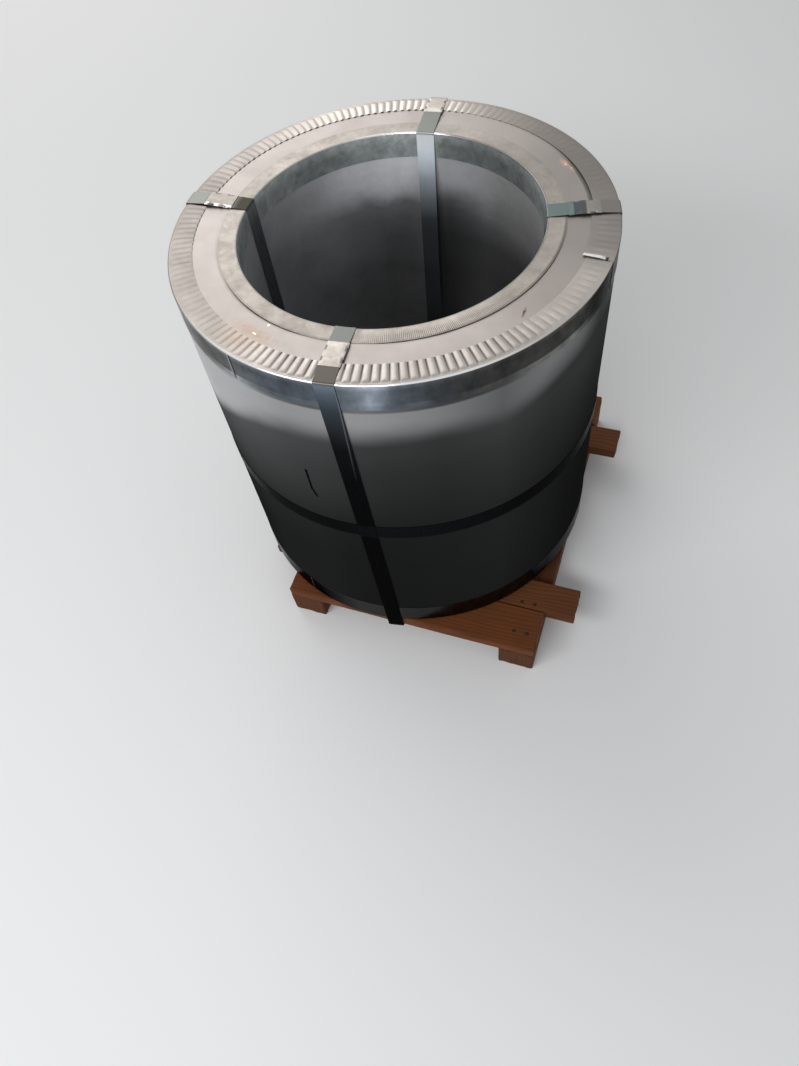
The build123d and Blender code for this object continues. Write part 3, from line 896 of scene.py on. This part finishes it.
# Its bend has a painted highlight at the back and painted shade elsewhere
bend_highlight = by_turn(tree, turn, [
    (-180, 1), (-154, 0.9), (-140, 0.2), (-60, 0.1), (60, 0.05), (100, 0.08), (125, 0.12), (150, 0.06),
    (174, 0.12), (180, 1)])
bend_highlight = times(tree, between(tree, radius, 0.2552, 0.2546),
                    between(tree, level, face_level - 0.0022, face_level - 0.0016), bend_highlight)
bend_shade = by_turn(tree, turn, [
    (-180, 0), (-150, 0), (-120, 0.4), (50, 0.55), (75, 0.85), (172, 0.85), (178, 0), (180, 0)])
bend_shade = times(tree, between(tree, radius, 0.2562, 0.2554),
                  between(tree, level, face_level - 0.0026, face_level - 0.0020), bend_shade)
colour = blend(tree, bend_shade, colour, (0.125, 0.120, 0.113, 1))
colour = blend(tree, bend_highlight, colour, (0.80, 0.80, 0.79, 1))
# Fine ribs cross the flange at the front right
rib_count = 620.0
ribs = times(tree, calc(tree, "SINE", times(tree, turn, rib_count)),
             band(tree, turn, radians(8), radians(22), radians(52), radians(75)),
             between(tree, radius, 0.262, 0.270))
rib_dirt = times(tree, between(tree, ribs, 0.0, 1.0), 0.35)
inner_rough = mixed(tree, on_face, leg_look["Roughness"], look["Roughness"])
link(tree, shader, base_color=blend(tree, rib_dirt, colour, (0.10, 0.09, 0.08, 1)),
     roughness=mixed(tree, bend_highlight, inner_rough, 0.18),
     metallic=between(tree, on_face, 0.0, 1.0, 0.3, 1.0),
     normal=relief(tree, ribs, 0.8, 0.0004, relief(tree, look["Height"], 0.18, 0.0016)))

bore_face = 0.2526
inner_corner = 0.0022
flange_start = 0.258
flange_edge = 0.2840
leg_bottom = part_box("top_inner_ring")[0].z
inner_profile = [(bore_face, leg_bottom), (bore_face, leg_bottom + 0.02),
                 (bore_face, face_level - inner_corner - 0.001)]
inner_profile += quarter_bend(bore_face + inner_corner, face_level - inner_corner, inner_corner, 180)
inner_profile += [(out, face_level) for out in (0.2570, 0.2620, 0.2680, 0.2740, 0.2790, 0.2820,
                                                flange_edge)]
inner_lift = [
    (-180, 0.2), (-140, 0.5), (-100, 0.15), (-80, 0.1), (-50, 0.9), (-35, 1.5), (-18, 1.1), (-6, 0.2),
    (12, 0.2), (25, 0.8), (55, 1.1), (80, 1.2), (98, 0.9), (102, 0.2), (112, 0.2), (130, 0.5), (180, 0.2)]
for side in ("top", "bottom"):
    inner_ring = turned_sheet(side + "_inner_edge_ring", inner_profile, -pi, 2 * pi, 480)
    for vertex in inner_ring.data.vertices:
        azimuth, out = turn_and_radius(vertex.co)
        if vertex.co.z > face_level - 0.0001:
            springs = max(0.0, (out - flange_start) / (flange_edge - flange_start)) ** 1.5
            vertex.co.z += 0.001 * keyed(inner_lift, degrees(azimuth)) * springs
            vertex.co.z += 0.00012 * sin(azimuth * 23) * springs
    flip_if_down(inner_ring)
    thicken(inner_ring, gauge, 50)
    if side == "bottom":
        turn_over(inner_ring)
    dress(inner_ring, inner_finish)
    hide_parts(side + "_inner_ring")
    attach(inner_ring, "root")

# Steel straps
# Blued and waxed steel strapping, 32 mm wide, tensioned round the belly and through the bore.
# Painted shade makes it nearly black on its long runs, and it is rubbed to bare grey steel where it
# lies over the top.


def at_straps(tree, turn):
    """1 about the left strap, and 1 about the back strap."""
    far_round = calc(tree, "ABSOLUTE", turn)
    return (band(tree, turn, -2.0, -1.9, -1.3, -1.2),
            between(tree, far_round, radians(150), radians(152)))


strap_finish, tree, shader = finish_for("blued_strap", 0.3)
shader["Specular Tint"].default_value = (0.3, 0.3, 0.3, 1)
shader["Specular IOR Level"].default_value = 0.1
turn, radius, level, seat = about_axis(tree)
on_left, at_back = at_straps(tree, turn)
scuffs = noise(tree, stretched(tree, seat, (1, 1, 0.12)), 190.0, 4.0, 0.6)
patches = between(tree, noise(tree, seat, 11.0, 3.0), 0.35, 0.7)
blued = blend(tree, patches, (0.82, 0.86, 0.90, 1), (0.96, 0.99, 1.02, 1))
blued = blend(tree, times(tree, between(tree, scuffs, 0.58, 0.75), 0.3), blued, (1.1, 1.1, 1.1, 1))
# Outside, painted light makes the runs lighter and blue for the first 100 mm below the rim, and
# painted shade makes them nearly black further down
outside_light_tone = graded(tree, level, [
    (0.1, 0.008), (0.398, 0.008), (0.402, 0.015), (0.434, 0.015), (0.438, 0.008), (0.55, 0.009),
    (0.64, 0.012), (0.66, 0.019), (0.68, 0.03), (0.7, 0.042), (0.73, 0.062), (0.75, 0.105), (0.765, 0.15),
    (0.78, 0.24)])
outside_tint = blend(tree, between(tree, level, 0.66, 0.74), (1.0, 1.0, 1.05, 1), (0.80, 1.0, 1.20, 1))
# Inside the bore they are dull and darkened by painted shade, and the back one has a painted
# highlight where it turns down
bore_shade_tone = graded(tree, level, [(0.1, 0.05), (0.6, 0.085), (0.7, 0.09), (0.75, 0.12), (0.78, 0.24)])
back_strap_highlight = graded(tree, level, [
    (0.4, 0.06), (0.5, 0.028), (0.6, 0.035), (0.62, 0.048), (0.64, 0.108), (0.66, 0.17), (0.68, 0.29),
    (0.7, 0.44), (0.72, 0.66), (0.74, 0.86), (0.755, 0.96)])
inside_tone = mixed(tree, at_back, bore_shade_tone, back_strap_highlight)
inside_tint = blend(tree, between(tree, level, 0.745, 0.765), (0.93, 0.98, 1.03, 1), (1.0, 1.0, 1.0, 1))
inside = between(tree, radius, 0.30, 0.29)
tint = blend(tree, inside, outside_tint, inside_tint)
blued = toned(tree, blend(tree, 1.0, blued, tint, "MULTIPLY"),
              mixed(tree, inside, outside_light_tone, inside_tone))
# A painted highlight runs along the front strap's right edge on its upper run
strap_edge_highlight = times(tree, band(tree, turn, radians(6.82), radians(6.95), radians(7.2), radians(7.3)),
             between(tree, level, 0.56, 0.72, 0.0, 0.45), between(tree, radius, 0.36, 0.365))
blued = blend(tree, strap_edge_highlight, blued, (0.22, 0.24, 0.27, 1))
# Over the top each strap is rubbed bare, and its colour changes on the far side of its seal
fine_scuffs = between(tree, scuffs, 0.3, 0.7)
rubbed = blend(tree, fine_scuffs, (0.172, 0.181, 0.168, 1), (0.184, 0.193, 0.180, 1))
clean_grey = blend(tree, fine_scuffs, (0.228, 0.237, 0.226, 1), (0.244, 0.252, 0.241, 1))
dulled = (0.135, 0.136, 0.128, 1)
teal = (0.166, 0.210, 0.205, 1)
on_right = between(tree, turn, 1.0, 1.1)
bare = blend(tree, between(tree, turn, -1.0, -1.2), rubbed, dulled)
bare = blend(tree, on_right, bare, teal)
bare = blend(tree, at_back, bare, clean_grey)
past_seal = times(tree, between(tree, radius, 0.334, 0.338), band(tree, turn, -0.3, -0.2, 2.2, 2.3))
past_colour = blend(tree, on_right, (0.118, 0.106, 0.095, 1), (0.25, 0.233, 0.219, 1))
bare = blend(tree, past_seal, bare, past_colour)
left_end = times(tree, between(tree, radius, 0.325, 0.335), on_left)
bare = blend(tree, left_end, bare, (0.265, 0.272, 0.256, 1))
left_turn = times(tree, between(tree, radius, 0.280, 0.270), on_left)
bare = blend(tree, left_turn, bare, (0.062, 0.060, 0.050, 1))
on_top = between(tree, level, face_level - 0.004, face_level + 0.0004)
down_bore = times(tree, inside, calc(tree, "SUBTRACT", 1.0, on_top))
link(tree, shader, base_color=blend(tree, on_top, blued, bare),
     metallic=between(tree, down_bore, 0.0, 1.0, 0.9, 0.05),
     roughness=mixed(tree, on_top, between(tree, scuffs, 0.3, 0.75, 0.24, 0.40), 0.36),
     normal=relief(tree, scuffs, 0.03, 0.0004))
strap_names = ("front", "right", "back", "left")
dress(cad["belly_strap"], strap_finish)
for name in strap_names:
    dress(cad["eye_strap_" + name], strap_finish)

# Seals
# Folded galvanised sleeves round the joints of the straps. A crimper has nicked each side twice
# and pressed the nicks down.

seal_finish, tree, shader = finish_for("seal_sheet", 0.34, 1.0)
turn, radius, level, seat = about_axis(tree)
look = sheet(tree, seat, (0.455, 0.420, 0.385), (0.330, 0.303, 0.276), 0.3, 0.005, 0.02, (0.26, 0.42))
on_left, at_back = at_straps(tree, turn)
seal_colour = toned(tree, look["Color"], between(tree, at_back, 0.0, 1.0, 1.0, 1.42))
# The left seal is duller, with painted highlights on the crimped lips of its near edge
seal_colour = toned(tree, seal_colour, between(tree, on_left, 0.0, 1.0, 1.0, 0.70))
near_side = between(tree, add(tree, "SeparateXYZ", {0: seat}).outputs["Y"], -0.0165, -0.0185)
crumple = between(tree, noise(tree, seat, 130.0, 2.0), 0.42, 0.50)
crimp_highlight = times(tree, near_side, crumple, on_left)
link(tree, shader, base_color=blend(tree, crimp_highlight, seal_colour, (0.95, 0.94, 0.92, 1)),
     roughness=look["Roughness"], normal=relief(tree, look["Height"], 0.2, 0.001))

dark_seal_finish, tree, shader = finish_for("seal_sheet_dull", 0.42, 1.0)
turn, radius, level, seat = about_axis(tree)
look = sheet(tree, seat, (0.30, 0.282, 0.265), (0.235, 0.220, 0.206), 0.15, 0.005, 0.02, (0.34, 0.5))
near_end = between(tree, radius, 0.3145, 0.3130)
dull = blend(tree, between(tree, radius, 0.2938, 0.2950), (0.150, 0.196, 0.188, 1),
             (0.080, 0.086, 0.091, 1))
link(tree, shader, base_color=blend(tree, near_end, look["Color"], dull), roughness=look["Roughness"])

seal_length = 0.050
seal_half = 0.0171
seal_gauge = 0.0008
nick_spots = (-0.012, 0.012)
nick_half = 0.0035
nick_deep = 0.0028
nick_drop = 0.0016
fold_width = 0.0036
crown = 0.00018
strap_line = [(0.2524, 0.7848), (0.3260, 0.7884), (0.3679, 0.7853)]


def crimped_sleeve(name, first_radius, azimuth, line):
    """A seal: a flat tube cut to length, its long edges folded round, nicked twice a side."""
    bpy.ops.mesh.primitive_cube_add(size=1, location=(0, 0, 0.0002),
                                    scale=(seal_length, 2 * seal_half, 0.0024))
    piece = bpy.context.object
    piece.name = name
    bpy.ops.object.transform_apply(location=True, rotation=True, scale=True)
    bpy.ops.object.mode_set(mode="EDIT")
    bpy.ops.mesh.select_mode(type="FACE")
    bpy.ops.mesh.select_all(action="DESELECT")
    close_mesh()
    for face in piece.data.polygons:
        face.select = abs(face.normal.x) > 0.9
    bpy.ops.object.mode_set(mode="EDIT")
    bpy.ops.mesh.delete(type="FACE")
    bpy.ops.mesh.select_all(action="SELECT")
    bpy.ops.mesh.normals_make_consistent(inside=False)
    bpy.ops.mesh.select_mode(type="EDGE")
    bpy.ops.mesh.select_all(action="DESELECT")
    close_mesh()
    for edge in piece.data.edges:
        ends = [piece.data.vertices[i].co for i in edge.vertices]
        edge.select = abs(ends[0].x - ends[1].x) > seal_length / 2
    bpy.ops.object.mode_set(mode="EDIT")
    bpy.ops.mesh.bevel(offset=0.0010, segments=3, affect="EDGES")
    bpy.ops.mesh.select_mode(type="VERT")
    cuts = [spot + step * nick_half for spot in nick_spots for step in (-1.25, -0.9, 0.9, 1.25)]
    cuts += [seal_length * (i / 10 - 0.5) for i in range(1, 10)]
    for cut in sorted(cuts):
        slice_mesh((cut, 0, 0), (1, 0, 0))
    for side in (-1, 1):
        for inset in (0.0035, 0.0065):
            slice_mesh((0, side * (seal_half - inset), 0), (0, 1, 0))
    close_mesh()
    aim = Matrix.Rotation(azimuth - pi / 2, 4, "Z")
    for vertex in piece.data.vertices:
        spot = vertex.co
        in_nick = min(abs(spot.x - nick) for nick in nick_spots) < nick_half
        edge_share = max(0.0, (abs(spot.y) - seal_half + fold_width) / fold_width)
        if in_nick and edge_share > 0 and spot.z > 0:
            spot.y -= nick_deep * edge_share * (1 if spot.y > 0 else -1)
            spot.z -= nick_drop * edge_share
        elif spot.z > 0.0010:
            spot.z += crown * cos(spot.y / seal_half * pi / 2)
        out = first_radius + seal_length / 2 + spot.x
        spot.x = out
        spot.z += keyed(line, out)
        vertex.co = aim @ spot + Vector((axis_x, 0, 0))
    thicken(piece, seal_gauge, 45)
    return piece


# Each seal's azimuth in degrees, and how far out from the axis it begins
seal_places = {"front": (4.5, 0.287), "right": (106.0, 0.286), "back": (184.5, 0.313),
               "left": (-89.0, 0.280)}
for name in strap_names:
    azimuth, first_radius = seal_places[name]
    seal = crimped_sleeve("eye_sleeve_" + name, first_radius, radians(azimuth), strap_line)
    dress(seal, dark_seal_finish if name == "right" else seal_finish)
    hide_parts("eye_seal_" + name)
    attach(seal, "root")
dress(cad["belly_seal"], seal_finish)

# Floor, light and camera
# A plain pale floor, soft light from high up at the back left and in front, and the photograph's
# viewpoint.

bpy.ops.mesh.primitive_plane_add(size=30, location=(0, 0, 0))
floor = bpy.context.object
floor.name = "studio_floor"
floor_finish, tree, shader = finish_for("studio_floor_paint", 0.85)
shader["Base Color"].default_value = (0.86, 0.86, 0.86, 1)
dress(floor, floor_finish)

world = bpy.data.worlds.new("studio")
bpy.context.scene.world = world
world.use_nodes = True
tree = world.node_tree
tree.nodes.clear()
path = add(tree, "LightPath")
seen = calc(tree, "MAXIMUM", path.outputs["Is Camera Ray"],
            calc(tree, "MAXIMUM", path.outputs["Is Glossy Ray"], path.outputs["Is Transmission Ray"]))
ambient = add(tree, "Background", {"Color": (0.96, 0.98, 1.0, 1), "Strength": 0.38})
backdrop = add(tree, "Background", {"Color": (0.80, 0.80, 0.80, 1), "Strength": 1.0})
shown = add(tree, "MixShader", {0: seen, 1: ambient.outputs[0], 2: backdrop.outputs[0]})
tree.links.new(shown.outputs[0], tree.nodes.new("ShaderNodeOutputWorld").inputs[0])


def lamp(name, spot, aim, wide, high, power, tint):
    """An oblong soft box turned to what it lights."""
    bpy.ops.object.light_add(type="AREA", location=spot)
    made = bpy.context.object
    made.name = name
    made.data.shape = "RECTANGLE"
    made.data.size = wide
    made.data.size_y = high
    made.data.energy = power
    made.data.color = tint
    made.rotation_euler = (Vector(aim) - Vector(spot)).to_track_quat("-Z", "Y").to_euler()


lamp("key_light", (-3.3, 3.1, 3.8), (0, 0, 0.6), 4.6, 4.6, 100, (1.0, 0.985, 0.96))
lamp("front_light", (-0.9, -3.1, 3.0), (0, 0, 0.6), 3.8, 0.9, 92, (0.98, 0.99, 1.0))

# The camera stands where the photograph was taken, turned as it was and with its angle of view
photo_height = 1066
photo_focal_length = 795.42
right = Vector((0.94194, 0.32067, -0.09955))
up = Vector((-0.21662, 0.80691, 0.54952))
bpy.ops.object.camera_add(location=(0.4572 + axis_x, -1.0465, 1.5761))
camera = bpy.context.object
camera.name = "camera"
camera.rotation_euler = Matrix((right, up, right.cross(up))).transposed().to_euler()
camera.data.sensor_fit = "VERTICAL"
camera.data.sensor_height = 36
camera.data.lens = camera.data.sensor_height * photo_focal_length / photo_height
bpy.context.scene.camera = camera
bpy.context.scene.view_settings.view_transform = "Standard"
